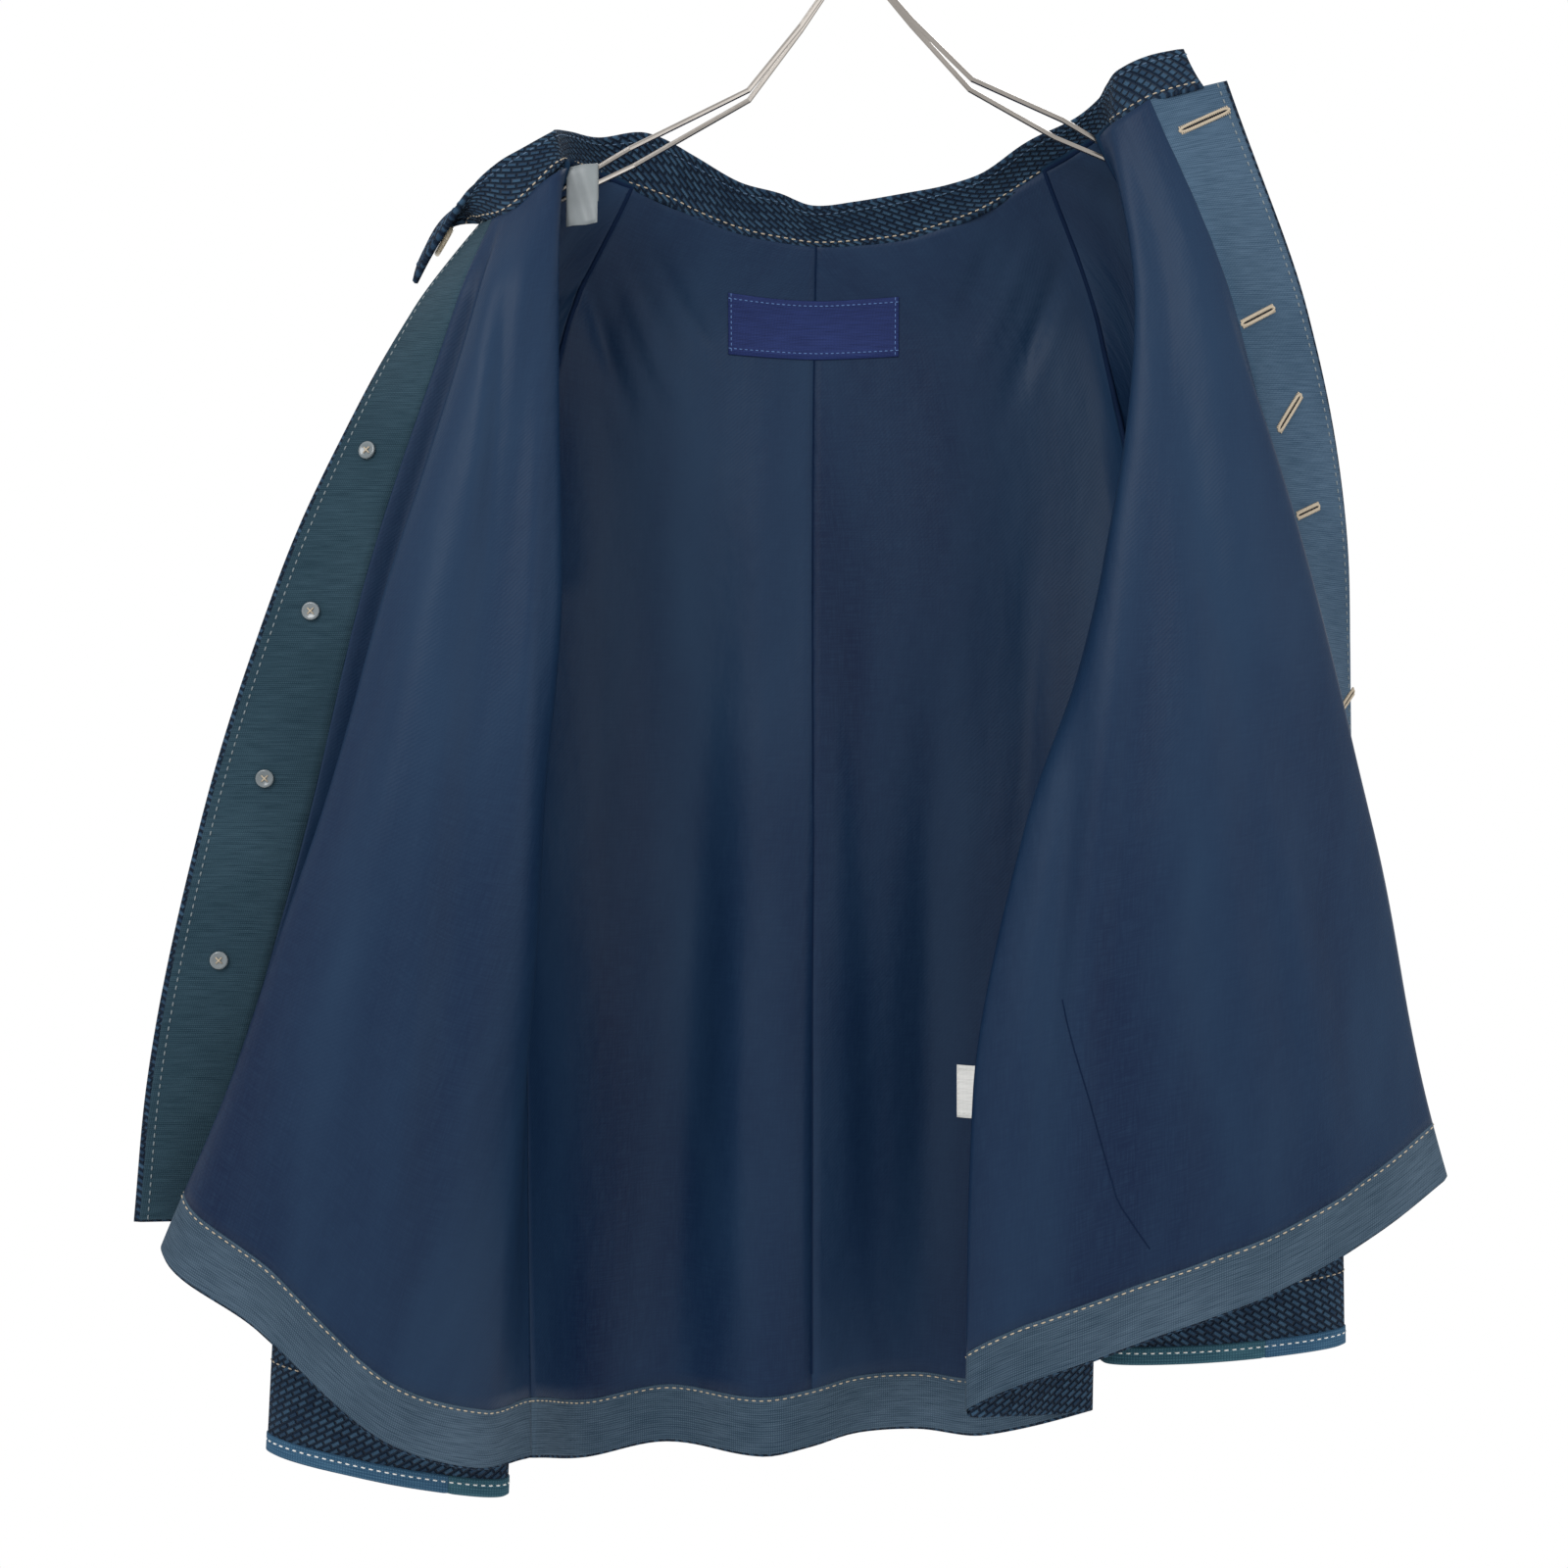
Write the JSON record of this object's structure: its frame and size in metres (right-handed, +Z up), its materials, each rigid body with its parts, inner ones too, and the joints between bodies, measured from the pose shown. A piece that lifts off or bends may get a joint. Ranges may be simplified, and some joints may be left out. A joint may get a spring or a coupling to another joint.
{
  "type": "jacket on a clothes hanger",
  "caption": "Button-front jacket of thick quilted kendo cloth with raglan sleeves and a stand collar, hung open on a double-wire hanger.",
  "frame": {"origin": "inside top of the hanger's hook, where a rail carries it", "axes": "+X to the viewer's right, +Y away from the viewer towards the back of the jacket, +Z up"},
  "size_m": [0.726, 0.1587, 0.9553],
  "materials": {
    "kendo_cloth": "thick quilted indigo cotton",
    "lining": "navy satin",
    "facing": "slate plain weave",
    "binding_blue": "blue binding tape",
    "binding_teal": "teal binding tape",
    "label": "bare woven label",
    "care_label": "bare white satin tape",
    "button_cream": "polished cream",
    "button_clear": "clear",
    "chrome": "polished wire",
    "frosted": "frosted"
  },
  "bodies": {
    "root": {"shell_front_left": "kendo_cloth", "shell_front_right": "kendo_cloth", "shell_back": "kendo_cloth", "shell_sleeve_left": "kendo_cloth", "shell_sleeve_right": "kendo_cloth", "collar": "kendo_cloth", "lining_front_left": "lining", "lining_front_right": "lining", "lining_back_left": "lining", "lining_back_right": "lining", "lining_sleeve_left": "lining", "lining_sleeve_right": "lining", "facing_front_left": "facing", "facing_front_right": "facing", "hem_band_front_left": "facing", "hem_band_back": "facing", "hem_band_front_right": "facing", "cuff_binding_left_blue": "binding_blue", "cuff_binding_left_teal": "binding_teal", "cuff_binding_right_blue": "binding_blue", "cuff_binding_right_teal": "binding_teal", "label_patch": "label", "care_label": "care_label", "button_front_1": "button_cream", "button_front_2": "button_cream", "button_front_3": "button_cream", "button_front_4": "button_cream", "button_collar": "button_cream", "button_backing_1": "button_clear", "button_backing_2": "button_clear", "button_backing_3": "button_clear", "button_backing_4": "button_clear", "hanger_frame": "chrome", "hanger_ferrule": "chrome", "hanger_hook": "chrome", "hanger_clip": "frosted"}
  },
  "joints": []
}
